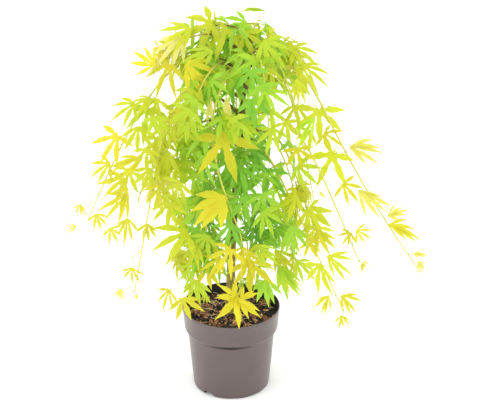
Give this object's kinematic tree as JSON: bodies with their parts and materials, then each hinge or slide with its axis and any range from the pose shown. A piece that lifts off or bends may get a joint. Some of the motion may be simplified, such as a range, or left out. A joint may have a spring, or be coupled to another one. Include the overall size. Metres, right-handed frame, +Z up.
{
  "type": "potted japanese maple",
  "caption": "Young weeping Japanese maple in a round plastic nursery pot, with a slim trunk, arching boughs and hanging masses of divided leaves.",
  "frame": {"origin": "middle of the pot's flat underside", "axes": "+Z up along the middle of the pot, +X to the right and -Y towards the front of the picture"},
  "size_m": [0.6994, 0.4935, 0.7676],
  "materials": {
    "pot_plastic": "satin",
    "potting_mix": "rough",
    "trunk_bark": "rough",
    "bough_bark": "satin",
    "leaves": "satin"
  },
  "bodies": {
    "root": {"pot": "pot_plastic", "soil": "potting_mix", "trunk": "trunk_bark", "bough_right_long": "bough_bark", "bough_left_long": "bough_bark", "bough_front_left": "bough_bark", "bough_right_fall": "bough_bark", "bough_front_right": "bough_bark", "bough_front_long": "bough_bark", "bough_back_long": "bough_bark", "bough_back_left_long": "bough_bark", "bough_back_right_long": "bough_bark", "bough_back_left_fall": "bough_bark", "bough_back_right_fall": "bough_bark", "bough_left_fall": "bough_bark", "foliage_right_long": "leaves", "foliage_left_long": "leaves", "foliage_front_left": "leaves", "foliage_right_fall": "leaves", "foliage_front_right": "leaves", "foliage_front_long": "leaves", "foliage_back_long": "leaves", "foliage_back_left_long": "leaves", "foliage_back_right_long": "leaves", "foliage_back_left_fall": "leaves", "foliage_back_right_fall": "leaves", "foliage_left_fall": "leaves", "foliage_top": "leaves", "foliage_top_left": "leaves", "foliage_top_right": "leaves", "foliage_top_front": "leaves", "foliage_top_back": "leaves", "foliage_top_front_left": "leaves", "foliage_top_front_right": "leaves", "foliage_top_back_left": "leaves", "foliage_top_back_right": "leaves", "foliage_middle_front": "leaves", "foliage_middle_right": "leaves", "foliage_middle_back": "leaves", "foliage_middle_left": "leaves", "foliage_low_front": "leaves", "foliage_low_left": "leaves", "foliage_low_back": "leaves", "foliage_low_right": "leaves"}
  },
  "joints": []
}
